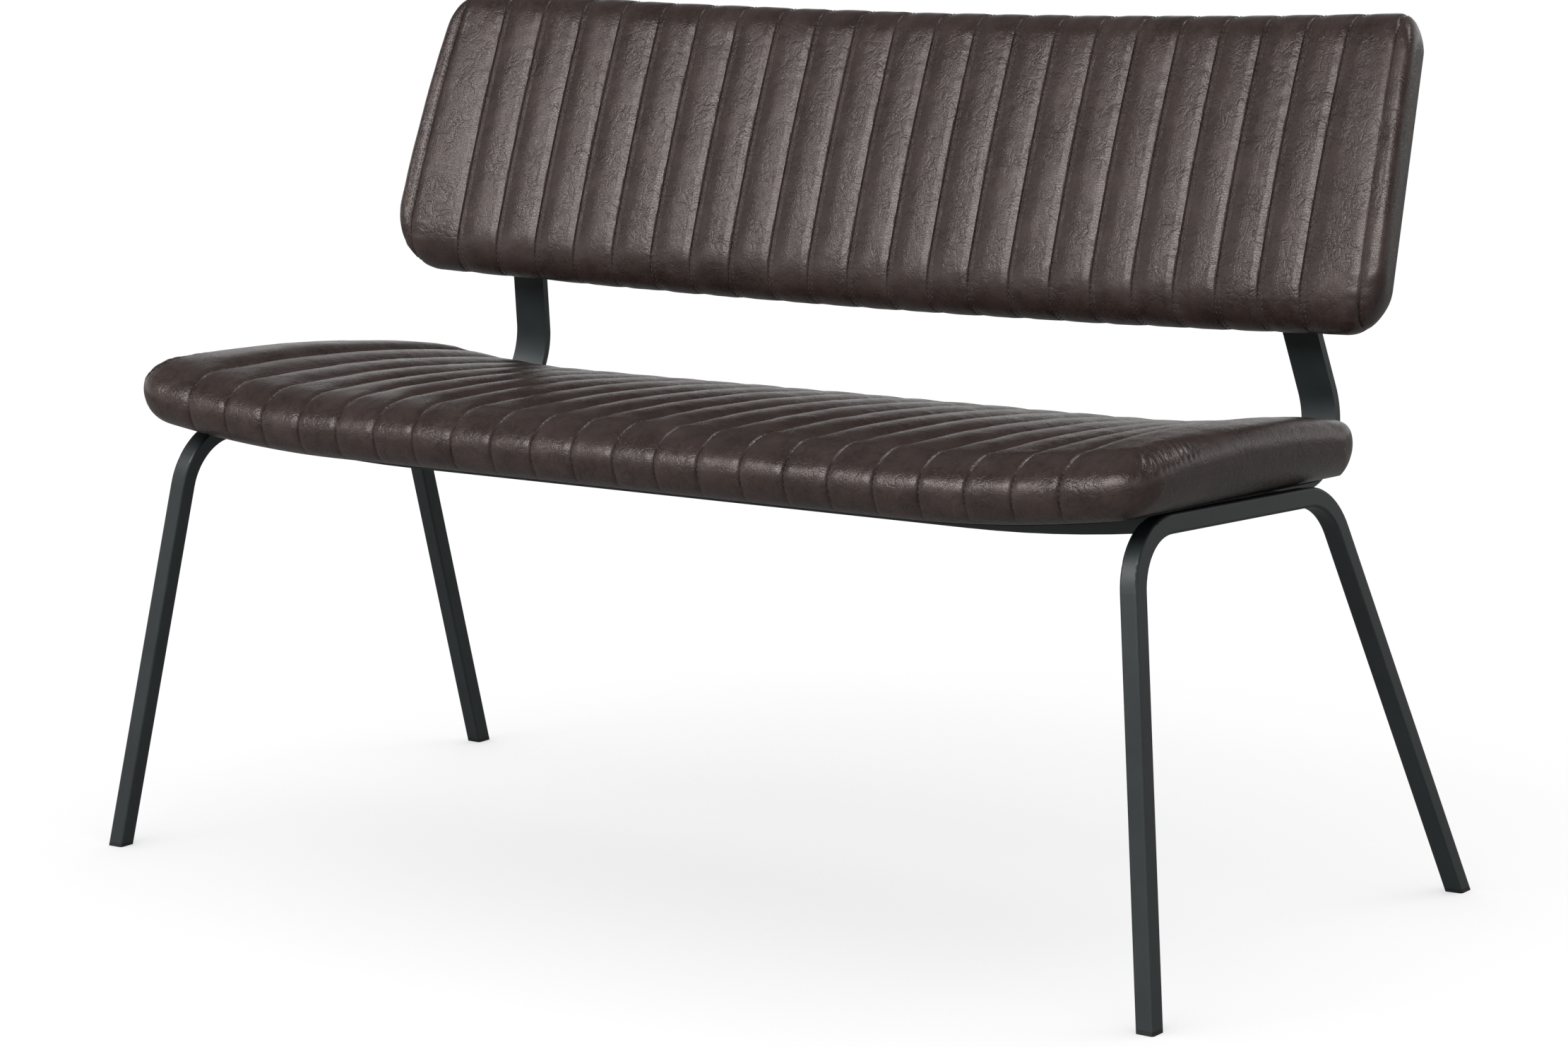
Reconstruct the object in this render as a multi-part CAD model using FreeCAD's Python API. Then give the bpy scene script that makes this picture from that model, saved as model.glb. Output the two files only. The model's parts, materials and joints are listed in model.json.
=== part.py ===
import FreeCAD
import Part
import math
import os

Vec = FreeCAD.Vector

# Sizes are in millimetres and degrees. While the bench is built, X runs along it, Y runs back from
# the front edge of the seat and Z runs up from the floor.

# Seat pad.
seat_length = 1160.0
seat_depth = 460.0
seat_underside_height = 413.0
seat_rake = 2.85
seat_straight_length = 660.0
seat_bend_radius = 1400.0
seat_taper = 26.0
seat_end_slant = 8.0
seat_front_thickness = 62.0
seat_rear_thickness = 54.0
seat_crown = 8.5
seat_front_full_height = 26.0
seat_nose_depth = 8.0
seat_nose_height = 45.0
seat_brow_depth = 47.0
seat_rear_roll = 35.0
seat_rear_full_height = 24.0
seat_front_corner_radius = 40.0
seat_rear_corner_radius = 74.0
seat_end_roll = 32.0
seat_hem_roll = 26.0
seat_hem_setback = 20.0
seat_hem_bulge = 0.16
seat_board_thickness = 12.0
seat_seam_depth = 3.0
seat_seam_width = 10.0
seat_seam_floor = 1.0

# Backrest pad.
back_length = 1176.0
back_height = 307.0
back_thickness = 50.0
back_recline = 21.0
back_bend_radius = 4130.0
back_seat_overlap = 26.0
back_lower_edge_height = 537.5
back_taper = 20.0
back_end_slant = 23.0
back_crown = 3.0
back_lower_full_depth = 16.0
back_nose_height = 9.0
back_nose_depth = 37.0
back_brow_height = 45.0
back_top_roll = 32.0
back_top_full_depth = 20.0
back_lower_corner_radius = 46.0
back_upper_corner_radius = 35.0
back_end_roll = 14.0
back_hem_roll = 6.0
back_hem_setback = 9.0
back_hem_bulge = 0.10
back_board_thickness = 10.0
back_end_panel_width = 25.0
back_seam_depth = 3.5
back_seam_width = 15.0
back_seam_floor = 6.0

# Upholstery.
channel_pitch = 48.0
plain_end = 70.0
cover_wall = 4.5
hem_thickness = 1.5
hem_width = 40.0
sheet_thickness = 1.0
sheet_setback = 26.0
rear_panel_thickness = 1.8
rear_panel_setback = 10.0
foam_end_setback = 8.0
layer_gap = 0.3
board_clearance = 5.0
full_bulge = 0.10
nose_bulge = 0.085
roll_bulge = 0.19
end_steps = 7

# Leg frames.
tube_size = 18.0
tube_wall = 1.5
tube_corner_radius = 2.5
frame_bend_radius = 60.0
frame_tilt = 7.9
frame_spacing = 1093.0
front_corner_offset = 53.0
rear_corner_setback = 77.0
front_foot_offset = -13.0
rear_foot_overhang = 86.0
frame_clearance = 0.3
cap_flange = 4.0
cap_plug_depth = 18.0
cap_clearance = 0.2

# Cross rails.
front_rail_offset = 129.0
rear_rail_setback = 160.0
rail_bolt_spacing = 240.0
rail_access_clearance = 1.5

# Back supports.
support_width = 38.0
support_thickness = 8.0
support_spacing = 934.0
support_gauge_height = 522.0
support_clearance = 31.0
support_lean = 13.5
support_knee_radius = 68.0
support_neck_radius = 60.0
support_plate_length = 170.0
support_corner_radius = 6.0
plate_bolt_inset = 25.0
plate_bolt_spacing = 70.0
foot_bolt_inset = 40.0
foot_bolt_spacing = 45.0
support_slope_allowance = 2.0

# Fasteners.
bolt_diameter = 6.0
bolt_hole_clearance = 0.6
bolt_head_diameter = 11.0
bolt_head_height = 3.4
bolt_head_round = 1.6
bolt_socket = 4.0
bolt_socket_depth = 1.9
washer_diameter = 12.0
washer_thickness = 1.2
nut_flange_diameter = 19.0
nut_flange_thickness = 1.5
nut_barrel_diameter = 8.0
nut_barrel_length = 8.0
nut_recess = 2.2
nut_clearance = 0.2

rake = math.radians(seat_rake)
tilt = math.radians(frame_tilt)
seat_normal = Vec(0, math.sin(rake), math.cos(rake))
bolt_hole_radius = (bolt_diameter + bolt_hole_clearance) / 2
back_front_offset = seat_depth - back_seat_overlap
support_reach = seat_depth + support_clearance
rear_corner_offset = seat_depth - rear_corner_setback
rear_foot_offset = seat_depth + rear_foot_overhang
rear_rail_offset = seat_depth - rear_rail_setback


def unit(vector):
    """The same direction with length one."""
    return vector * (1.0 / vector.Length)


def axes_placement(origin, first, second):
    """Placement that carries local X and Y onto two given directions."""
    third = first.cross(second)
    return FreeCAD.Placement(FreeCAD.Matrix(
        first.x, second.x, third.x, origin.x,
        first.y, second.y, third.y, origin.y,
        first.z, second.z, third.z, origin.z,
        0, 0, 0, 1))


def placed(shape, placement):
    """A copy of a shape, moved by a placement."""
    copy = shape.copy()
    copy.Placement = placement.multiply(copy.Placement)
    return copy


def mirrored(shape):
    """The left-hand copy of a right-hand shape."""
    return shape.mirror(Vec(0, 0, 0), Vec(1, 0, 0))


def rounded(distance, radius):
    """How far a round of this radius has drawn in at this distance from its end."""
    if distance >= radius:
        return 0.0
    return radius - math.sqrt(max(0.0, radius ** 2 - (radius - distance) ** 2))


def seat_rise(x):
    """Height that the bent seat gains over its straight middle."""
    beyond = max(0.0, abs(x) - seat_straight_length / 2)
    return seat_bend_radius - math.sqrt(seat_bend_radius ** 2 - beyond ** 2)


seat_placement = FreeCAD.Placement(Vec(0, 0, seat_underside_height),
                                   FreeCAD.Rotation(Vec(1, 0, 0), -seat_rake))
back_placement = FreeCAD.Placement(Vec(0, back_front_offset, back_lower_edge_height),
                                   FreeCAD.Rotation(Vec(1, 0, 0), -back_recline))


def seat_point(station, shift, along, across):
    """Point of the seat pad: along it from the front, across it up from the underside."""
    return seat_placement.multVec(Vec(station + shift, along, across + seat_rise(station)))


def back_point(station, shift, along, across):
    """Point of the backrest: along it up from the lower edge, across it forward from the rear."""
    angle = station / back_bend_radius
    radius = back_bend_radius + back_thickness - across
    x = radius * math.sin(angle) + shift * math.cos(angle)
    y = radius * math.cos(angle) - shift * math.sin(angle) - back_bend_radius
    return back_placement.multVec(Vec(x, y, along))


class Pad:
    """A bent pad with stitched channels, lofted through cross-sections from end to end.

    Each corner of the cross-section is (measured from the far edge, along, across, bulge), where
    the bulge is the rise of the arc to the next corner as a share of its chord.
    The end radii are those of the near edge, the far edge, the show face and the hem.
    """

    def __init__(self, length, depth, thickness, corners, end_radii, taper, slant, seam, point):
        self.half = length / 2
        self.depth = depth
        self.thickness = thickness
        self.corners = corners
        self.end_radii = end_radii
        self.taper = taper
        self.slant = slant
        self.seam_depth, self.seam_width, self.seam_floor = seam
        self.point = point
        channels = int((length - 2 * plain_end) / channel_pitch)
        self.seams = [(k - channels / 2) * channel_pitch for k in range(channels + 1)]

    def place(self, station, along, across):
        """Point in space of one corner of the cross-section at a station."""
        share = max(0.0, abs(station) - self.seams[-1]) / (self.half - self.seams[-1])
        draw_in = self.taper * (along / self.depth - 0.5)
        draw_in += self.slant * (1 - across / self.thickness)
        shift = share * draw_in * math.copysign(1, -station)
        return self.point(station, shift, along, across)

    def drop(self, station):
        """Depth of the stitched groove at a station."""
        away = min(abs(station - seam) for seam in self.seams) - self.seam_floor / 2
        flank = (self.seam_width - self.seam_floor) / 2
        return self.seam_depth * min(1.0, max(0.0, 1.0 - away / flank))

    def stations(self, half, radius, grooved=False):
        """Stations from end to end, closer together where the ends are rounded."""
        marks = []
        for seam in self.seams:
            edges = [0.0]
            if grooved:
                edges = [-self.seam_width / 2, -self.seam_floor / 2,
                         self.seam_floor / 2, self.seam_width / 2]
            marks += [seam + edge for edge in edges if abs(seam + edge) < half - 1.0]
        for k in range(end_steps + 1):
            mark = half - radius * (1 - math.sin(math.radians(90.0 * k / end_steps)))
            marks += [-mark, mark]
        kept = [-half]
        for mark in sorted(marks):
            if mark - kept[-1] > 0.5 and half - mark > 0.5:
                kept.append(mark)
        return kept + [half]

    def wire(self, station, points, bulges):
        """Closed cross-section through its corners, with arcs where they bulge."""
        edges = []
        for k, start in enumerate(points):
            end = points[(k + 1) % len(points)]
            a = self.place(station, *start)
            b = self.place(station, *end)
            if bulges[k] == 0:
                edges.append(Part.LineSegment(a, b).toShape())
                continue
            middle = ((start[0] + end[0]) / 2 - (end[1] - start[1]) * bulges[k],
                      (start[1] + end[1]) / 2 + (end[0] - start[0]) * bulges[k])
            edges.append(Part.Arc(a, self.place(station, *middle), b).toShape())
        return Part.Wire(edges)

    def section(self, station, inset, low, floor, grooved):
        """Cross-section at a station, drawn in from the outside by an inset."""
        gap = self.half - inset - abs(station)
        near, far, show, hem = [rounded(gap, radius - inset) for radius in self.end_radii]
        drop = self.drop(station) if grooved else 0.0
        scale = (self.thickness - show - inset - drop - low - hem) / self.thickness
        start = near + inset + drop
        end = self.depth - far - inset - drop
        points = []
        for from_far, along, across, bulge in self.corners:
            position = end - along * scale if from_far else start + along * scale
            points.append((position, max(floor, low + hem + across * scale)))
        return self.wire(station, points, [corner[3] for corner in self.corners])

    def body(self, stations, inset=0.0, low=0.0, floor=0.0, grooved=False):
        """Solid through the cross-sections at the stations."""
        sections = [self.section(s, inset, low, floor, grooved) for s in stations]
        return Part.makeLoft(sections, True, True)

    def outside(self):
        """Solid of the whole pad as seen, with its stitched channels."""
        return self.body(self.stations(self.half, max(self.end_radii), True), grooved=True)

    def core(self):
        """Solid of the space inside the cover."""
        half = self.half - cover_wall
        stations = self.stations(half, max(self.end_radii) - cover_wall)
        return self.body(stations, cover_wall, hem_thickness)

    def foam(self, floor):
        """Foam between the board and the cover."""
        half = self.half - cover_wall
        stations = self.stations(half, max(self.end_radii) - cover_wall)
        kept = [s for s in stations if abs(s) < self.half - foam_end_setback]
        return self.body(kept, cover_wall + layer_gap, hem_thickness, floor)

    def slab(self, setback, low, high):
        """Sheet that follows the bend, with rounded corners, between two levels."""
        half = self.half - setback
        sections = []
        for s in self.stations(half, max(self.end_radii[:2])):
            near, far = [rounded(half - abs(s), radius) for radius in self.end_radii[:2]]
            start = setback + near
            end = self.depth - setback - far
            corners = [(start, low), (start, high), (end, high), (end, low)]
            sections.append(self.wire(s, corners, [0, 0, 0, 0]))
        return Part.makeLoft(sections, True, True)


def pad_corners(near, far, hem, crown):
    """Corners of a cross-section, from the near hem over the show face to the far hem."""
    full, nose_along, nose_across, brow_along, near_thickness = near
    roll, far_thickness, far_full, span = far
    hem_setback, hem_bulge = hem
    return [(False, hem_setback, 0.0, hem_bulge),
            (False, 0.0, full, full_bulge),
            (False, nose_along, nose_across, nose_bulge),
            (False, brow_along, near_thickness, crown / (span - brow_along - roll)),
            (True, roll, far_thickness, roll_bulge),
            (True, 0.0, far_full, hem_bulge),
            (True, hem_setback, 0.0, 0)]


seat = Pad(
    seat_length, seat_depth, seat_front_thickness,
    pad_corners((seat_front_full_height, seat_nose_depth, seat_nose_height,
                 seat_brow_depth, seat_front_thickness),
                (seat_rear_roll, seat_rear_thickness, seat_rear_full_height, seat_depth),
                (seat_hem_setback, seat_hem_bulge), seat_crown),
    (seat_front_corner_radius, seat_rear_corner_radius, seat_end_roll, seat_hem_roll),
    seat_taper, seat_end_slant, (seat_seam_depth, seat_seam_width, seat_seam_floor), seat_point)

back = Pad(
    back_length, back_height, back_thickness,
    pad_corners((back_lower_full_depth, back_nose_height, back_nose_depth,
                 back_brow_height, back_thickness),
                (back_top_roll, back_thickness, back_top_full_depth, back_height),
                (back_hem_setback, back_hem_bulge), back_crown),
    (back_lower_corner_radius, back_upper_corner_radius, back_end_roll, back_hem_roll),
    back_taper, back_end_slant, (back_seam_depth, back_seam_width, back_seam_floor), back_point)


def bent_bar(points, radii, thickness, width):
    """Bar along a bent centre line in the local XY plane, centred on that plane."""
    sides = []
    for sign in (1, -1):
        offset = sign * thickness / 2
        run = []
        previous = None
        for k in range(1, len(points) - 1):
            corner = points[k]
            before = unit(corner - points[k - 1])
            after = unit(points[k + 1] - corner)
            turn = math.atan2(before.cross(after).z, before.dot(after))
            hand = math.copysign(1, turn)
            tangent = radii[k - 1] * math.tan(abs(turn) / 2)
            left = Vec(-before.y, before.x, 0)
            start = corner - before * tangent
            centre = start + left * (hand * radii[k - 1])
            radius = radii[k - 1] - hand * offset
            spokes = [start - centre, corner - centre, corner + after * tangent - centre]
            arc = [centre + unit(spoke) * radius for spoke in spokes]
            if previous is None:
                previous = points[0] + left * offset
            run.append(Part.LineSegment(previous, arc[0]).toShape())
            run.append(Part.Arc(*arc).toShape())
            previous = arc[2]
        last = unit(points[-1] - points[-2])
        end = points[-1] + Vec(-last.y, last.x, 0) * offset
        run.append(Part.LineSegment(previous, end).toShape())
        sides.append(run)
    ends = [Part.LineSegment(sides[0][k].Vertexes[k].Point,
                             sides[1][k].Vertexes[k].Point).toShape() for k in (0, -1)]
    face = Part.Face(Part.Wire(Part.sortEdges(sides[0] + sides[1] + ends)[0]))
    face.translate(Vec(0, 0, -width / 2))
    return face.extrude(Vec(0, 0, width))


def softened(bar, width, radius):
    """Bar with its long edges rounded."""
    edges = []
    for edge in bar.Edges:
        heights = [abs(vertex.Point.z) for vertex in edge.Vertexes]
        same_face = abs(edge.Vertexes[0].Point.z - edge.Vertexes[-1].Point.z) < 0.01
        at_end = edge.BoundBox.DiagonalLength < 2 * width
        if same_face and not at_end and min(heights) > width / 2 - 0.01:
            edges.append(edge)
    return bar.makeFillet(radius, edges)


def disc(origin, axis, radius, length):
    """Cylinder that starts at a point and runs along an axis."""
    return Part.makeCylinder(radius, length, origin, axis)


def drilled(shape, sites, radius):
    """Shape with a through hole on the axis of every bolt."""
    for origin, axis, length in sites:
        shape = shape.cut(disc(origin - axis * 50, axis, radius, length + 80))
    return shape


def bolt(origin, axis, length):
    """Button-head bolt, its head bearing at the origin and its shank along the axis."""
    head = disc(origin - axis * bolt_head_height, axis, bolt_head_diameter / 2, bolt_head_height)
    crown = [edge for edge in head.Edges
             if edge.isClosed() and (edge.CenterOfMass - origin).dot(axis) < -bolt_head_height / 2]
    head = head.makeFillet(bolt_head_round, crown)
    side = unit(axis.cross(Vec(0.31, 0.77, 0.55)))
    other = axis.cross(side)
    top = origin - axis * bolt_head_height
    reach = bolt_socket / math.sqrt(3)
    ring = [top + side * (reach * math.cos(math.radians(60 * k)))
            + other * (reach * math.sin(math.radians(60 * k))) for k in range(7)]
    socket = Part.Face(Part.makePolygon(ring)).extrude(axis * bolt_socket_depth)
    shank = disc(origin - axis * 0.5, axis, bolt_diameter / 2, length + 0.5)
    return head.cut(socket).fuse(shank).removeSplitter()


def washer(origin, axis):
    """Flat washer that bears on the far side of the origin."""
    ring = disc(origin, axis, washer_diameter / 2, washer_thickness)
    hole = disc(origin, axis, bolt_hole_radius, washer_thickness)
    return ring.cut(hole)


def tee_nut(origin, axis):
    """Tee nut with its flange at the origin and its barrel back along the axis."""
    flange = disc(origin - axis * nut_flange_thickness, axis, nut_flange_diameter / 2,
                  nut_flange_thickness)
    barrel = disc(origin - axis * nut_barrel_length, axis, nut_barrel_diameter / 2,
                  nut_barrel_length)
    bore = disc(origin - axis * (nut_barrel_length + 1), axis,
                bolt_diameter / 2 + nut_clearance / 2, nut_barrel_length + 2)
    return flange.fuse(barrel).removeSplitter().cut(bore)


def nut_seated(board, sites):
    """Board with the stepped holes that take the tee nuts."""
    for origin, axis, length in sites:
        barrel = disc(origin - axis * 30, axis, nut_barrel_diameter / 2 + nut_clearance, 60)
        recess = disc(origin - axis * (nut_flange_thickness + nut_clearance), axis,
                      nut_flange_diameter / 2 + nut_clearance, 20)
        board = board.cut(barrel).cut(recess)
    return board


parts = {}

# Leg frame, right hand: built in its own tilted plane and carried out to the end of the bench.
underside = sheet_thickness + 2 * layer_gap
frame_x = frame_spacing / 2


def frame_top(y):
    """Height, in the tilted plane, of the centre line of the top tube."""
    crest_x = frame_x - tube_size / 2 * math.sin(tilt)
    height = (seat_underside_height - y * math.tan(rake)
              + (seat_rise(crest_x) - underside - frame_clearance) / math.cos(rake))
    return height / math.cos(tilt) - tube_size / 2


frame_foot_x = frame_x + frame_top(front_corner_offset) * math.sin(tilt)
frame_placement = axes_placement(Vec(frame_foot_x, 0, 0), Vec(0, 1, 0),
                                 Vec(-math.sin(tilt), 0, math.cos(tilt)))
front_foot = Vec(front_foot_offset, 0, 0)
rear_foot = Vec(rear_foot_offset, 0, 0)
front_corner = Vec(front_corner_offset, frame_top(front_corner_offset), 0)
rear_corner = Vec(rear_corner_offset, frame_top(rear_corner_offset), 0)
frame_path = [front_foot + unit(front_foot - front_corner) * tube_size * 2, front_corner,
              rear_corner, rear_foot + unit(rear_foot - rear_corner) * tube_size * 2]
frame_radii = [frame_bend_radius, frame_bend_radius]


def frame_bar(size, corner):
    """Solid square bar along the leg frame."""
    bar = bent_bar(frame_path, frame_radii, size, size)
    if corner > 0:
        bar = softened(bar, size, corner)
    return placed(bar, frame_placement)


def slice_of(shape, low, high):
    """The part of a shape between two heights."""
    block = Part.makeBox(4000, 4000, high - low, Vec(-2000, -2000, low))
    return shape.common(block)


tube_bore = tube_size - 2 * tube_wall
tube_outside = frame_bar(tube_size, tube_corner_radius)
tube_inside = frame_bar(tube_bore, 0)
plug_inside = frame_bar(tube_bore - 2 * cap_clearance, 0)
leg_frame = slice_of(tube_outside.cut(tube_inside), cap_flange, 2000)
flanges = slice_of(tube_outside, 0, cap_flange)
plugs = slice_of(plug_inside, cap_flange, cap_flange + cap_plug_depth)
middle_y = (front_foot_offset + rear_foot_offset) / 2
parts["right_leg_frame"] = leg_frame
parts["left_leg_frame"] = mirrored(leg_frame)
for name, is_front in (("front", True), ("rear", False)):
    pieces = [solid for solid in flanges.Solids + plugs.Solids
              if (solid.CenterOfMass.y < middle_y) == is_front]
    cap = pieces[0].fuse(pieces[1:]).removeSplitter()
    parts["right_%s_foot_cap" % name] = cap
    parts["left_%s_foot_cap" % name] = mirrored(cap)

# Cross rails: square tube that follows the bent seat, between the inner faces of the leg frames.
# The bolts go in through access holes in the lower wall, and their heads bear on the upper wall.
rail_turn = math.asin((frame_x + tube_size - seat_straight_length / 2) / seat_bend_radius)


def rail_bar(size, offset):
    """Solid square bar along a cross rail whose front face is at an offset."""
    radius = seat_bend_radius + tube_size / 2
    corner = seat_straight_length / 2 + radius * math.tan(rail_turn / 2)
    reach = radius * math.tan(rail_turn / 2) + 2 * tube_size
    end = Vec(corner + reach * math.cos(rail_turn), reach * math.sin(rail_turn), 0)
    path = [Vec(-end.x, end.y, 0), Vec(-corner, 0, 0), Vec(corner, 0, 0), end]
    origin = seat_placement.multVec(
        Vec(0, offset + tube_size / 2, -underside - tube_size / 2))
    bar = bent_bar(path, [radius, radius], size, size)
    return placed(bar, axes_placement(origin, Vec(1, 0, 0), seat_normal))


outer_side = placed(Part.makeBox(3000, 3000, 1000, Vec(-1000, -1000, -tube_size / 2)),
                    frame_placement)
beyond_frames = [outer_side, mirrored(outer_side)]
rail_sites = {}
for name, offset in (("front", front_rail_offset), ("rear", rear_rail_offset)):
    rail_sites[name] = []
    for x in (-rail_bolt_spacing, 0.0, rail_bolt_spacing):
        start = seat_placement.multVec(
            Vec(x, offset + tube_size / 2, -underside - tube_wall - washer_thickness))
        length = (washer_thickness + tube_wall + underside + hem_thickness + layer_gap
                  + seat_board_thickness - nut_recess)
        rail_sites[name].append((start, seat_normal, length))
    rail = rail_bar(tube_size, offset).cut(rail_bar(tube_bore, offset)).cut(beyond_frames)
    access = [disc(start, seat_normal * -1, (washer_diameter + rail_access_clearance) / 2, tube_size)
              for start, axis, length in rail_sites[name]]
    rail = drilled(rail, rail_sites[name], bolt_hole_radius)
    parts[name + "_cross_rail"] = rail.cut(access)

# Back support, right hand: a flat bar bent in one plane, which is square to the rear of the
# backrest and tilted like the leg frame.
rear_face = back_thickness + rear_panel_thickness + 2 * layer_gap
support_angle = math.asin(support_spacing / 2 / (back_bend_radius + rear_face))
rear_normal = back_placement.Rotation.multVec(
    Vec(math.sin(support_angle), math.cos(support_angle), 0))
toe = -(rear_normal.x + math.tan(tilt) * rear_normal.z) / rear_normal.y
flat = unit(Vec(1, toe, math.tan(tilt)))
gauge = Vec(support_spacing / 2, support_reach, support_gauge_height)
away = unit(Vec(0, 1, 0) - flat * flat.y)
upward = flat.cross(away)
support_placement = axes_placement(gauge, away, upward)


def in_plane(vector):
    """A direction in space, seen in the plane of the support."""
    return Vec(vector.dot(away), vector.dot(upward), 0)


def crossing(point, direction, other, heading):
    """Where two lines of a plane meet."""
    side = Vec(-heading.y, heading.x, 0)
    return point + direction * ((other - point).dot(side) / direction.dot(side))


face_point = back_placement.multVec(
    Vec((back_bend_radius + rear_face) * math.sin(support_angle),
        (back_bend_radius + rear_face) * math.cos(support_angle) - back_bend_radius, 0))
plate_out = unit(in_plane(rear_normal))
plate_up = Vec(-plate_out.y, plate_out.x, 0)
plate_point = plate_out * ((face_point - gauge).dot(rear_normal) + support_thickness / 2)
lean = math.radians(support_lean)
lean_up = Vec(-math.sin(lean), math.cos(lean), 0)
foot_x = gauge.x + (support_gauge_height - seat_underside_height) * math.tan(tilt)
foot_level = seat_placement.multVec(
    Vec(foot_x, seat_depth, seat_rise(foot_x) - underside - support_slope_allowance
        - support_thickness / 2))
foot_out = unit(in_plane(seat_normal))
foot_back = Vec(foot_out.y, -foot_out.x, 0)
foot_point = foot_out * ((foot_level - gauge).dot(seat_normal) / in_plane(seat_normal).Length)
knee = crossing(foot_point, foot_back, Vec(0, 0, 0), lean_up)
neck = crossing(plate_point, plate_up, Vec(0, 0, 0), lean_up)
plate_end = neck + plate_up * support_plate_length
support = bent_bar([knee - foot_back * seat_depth, knee, neck, plate_end],
                   [support_knee_radius, support_neck_radius], support_thickness, support_width)
tip_edges = [edge for edge in support.Edges
             if abs(edge.Length - support_thickness) < 0.01
             and (edge.CenterOfMass - plate_end).Length < support_width]
support = placed(support.makeFillet(support_corner_radius, tip_edges), support_placement)
rail_rear = rear_rail_offset + tube_size
ahead = Part.makeBox(4000, 4000, 2000, Vec(-2000, rail_rear - 4000, -1000))
support = support.cut(placed(ahead, seat_placement))


def outward(vector):
    """A direction in the plane of the support, seen in space."""
    return support_placement.Rotation.multVec(vector)


plate_sites = []
plate_bolt_length = (support_thickness + washer_thickness + rear_panel_thickness + 2 * layer_gap
                     + hem_thickness + layer_gap + back_board_thickness - nut_recess)
for k in range(2):
    spot = plate_end - plate_up * (plate_bolt_inset + k * plate_bolt_spacing)
    seat_of_head = spot + plate_out * (support_thickness / 2 + washer_thickness)
    plate_sites.append((support_placement.multVec(seat_of_head), outward(plate_out) * -1,
                        plate_bolt_length))

foot_sites = []
foot_start = foot_back.dot(in_plane(seat_placement.multVec(Vec(foot_x, rail_rear, 0)) - gauge)
                           - knee)
foot_bolt_length = (support_thickness + washer_thickness + support_slope_allowance + underside
                    + hem_thickness + layer_gap + seat_board_thickness - nut_recess)
for k in range(2):
    spot = knee + foot_back * (foot_start + foot_bolt_inset + k * foot_bolt_spacing)
    seat_of_head = spot - foot_out * (support_thickness / 2 + washer_thickness)
    foot_sites.append((support_placement.multVec(seat_of_head), outward(foot_out),
                       foot_bolt_length))


def mirrored_sites(sites):
    """The same bolt sites on the left-hand side."""
    return [(Vec(-origin.x, origin.y, origin.z), Vec(-axis.x, axis.y, axis.z), length)
            for origin, axis, length in sites]


support = drilled(support, plate_sites + foot_sites, bolt_hole_radius)
parts["right_back_support"] = support
parts["left_back_support"] = mirrored(support)

# Bolt sites by pad; the nut of each bolt sits at the tip of its shank.
plate_sites = plate_sites + mirrored_sites(plate_sites)
foot_sites = foot_sites + mirrored_sites(foot_sites)
seat_sites = rail_sites["front"] + rail_sites["rear"] + foot_sites


def nut_sites(sites):
    """Where the flange of each tee nut lies, with the direction that the bolt comes from."""
    return [(origin + axis * length, axis, length) for origin, axis, length in sites]


# Seat pad, from the board up.
board_low = hem_thickness + layer_gap
seat_board_top = board_low + seat_board_thickness
board_setback = cover_wall + board_clearance
seat_board = seat.slab(seat_hem_setback + board_setback, board_low, seat_board_top)
parts["seat_board"] = nut_seated(seat_board, nut_sites(seat_sites))
parts["seat_foam"] = seat.foam(seat_board_top + layer_gap)
seat_opening = seat.slab(hem_width, -3 * hem_thickness, 3 * hem_thickness)
parts["seat_cover"] = seat.outside().cut(seat.core()).cut(seat_opening)
dust_cover = seat.slab(sheet_setback, -layer_gap - sheet_thickness, -layer_gap)
parts["seat_dust_cover"] = drilled(dust_cover, seat_sites, bolt_hole_radius)

# Backrest pad: the channelled cover and its end panels are separate pieces over one core.
back_board_top = board_low + back_board_thickness
back_board = back.slab(back_hem_setback + board_setback, board_low, back_board_top)
parts["back_board"] = nut_seated(back_board, nut_sites(plate_sites))
parts["back_foam"] = back.foam(back_board_top + layer_gap)
back_core = back.core()
back_opening = back.slab(hem_width, -3 * hem_thickness, 3 * hem_thickness)
end_seam = back.half - back_end_panel_width
marks = back.stations(back.half, max(back.end_radii), True)
middle_marks = [-end_seam] + [s for s in marks if abs(s) < end_seam - 0.5] + [end_seam]
end_marks = [end_seam] + [s for s in marks if s > end_seam + 0.5]
middle_shell = back.body(middle_marks, grooved=True)
parts["back_cover"] = middle_shell.cut(back_core).cut(back_opening)
end_shell = back.body(end_marks, grooved=True).cut(back_core).cut(back_opening)
parts["right_back_end_panel"] = end_shell
parts["left_back_end_panel"] = mirrored(end_shell)
rear_panel = back.slab(rear_panel_setback, -layer_gap - rear_panel_thickness, -layer_gap)
parts["back_rear_panel"] = drilled(rear_panel, plate_sites, bolt_hole_radius)

# Fasteners, each kind one group of separate solids.
for name, sites in (("seat", seat_sites), ("back", plate_sites)):
    bolts = [bolt(*site) for site in sites]
    washers = [washer(origin, axis) for origin, axis, length in sites]
    nuts = [tee_nut(origin, axis) for origin, axis, length in nut_sites(sites)]
    parts[name + "_bolts"] = Part.makeCompound(bolts)
    parts[name + "_washers"] = Part.makeCompound(washers)
    parts[name + "_tee_nuts"] = Part.makeCompound(nuts)

# The origin goes to the middle of the footprint, on the floor.
front = min(parts["right_front_foot_cap"].optimalBoundingBox(False).YMin, 0.0)
rear = max(parts["right_back_support"].optimalBoundingBox(False).YMax,
           parts["back_rear_panel"].optimalBoundingBox(False).YMax,
           parts["back_bolts"].optimalBoundingBox(False).YMax)
os.makedirs("parts", exist_ok=True)
for name, shape in parts.items():
    shape.translate(Vec(0, -(front + rear) / 2, 0))
    shape.exportStep("parts/%s.step" % name)
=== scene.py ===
import json
import math

import bpy
import numpy as np
from mathutils import Matrix, Vector, noise


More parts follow.
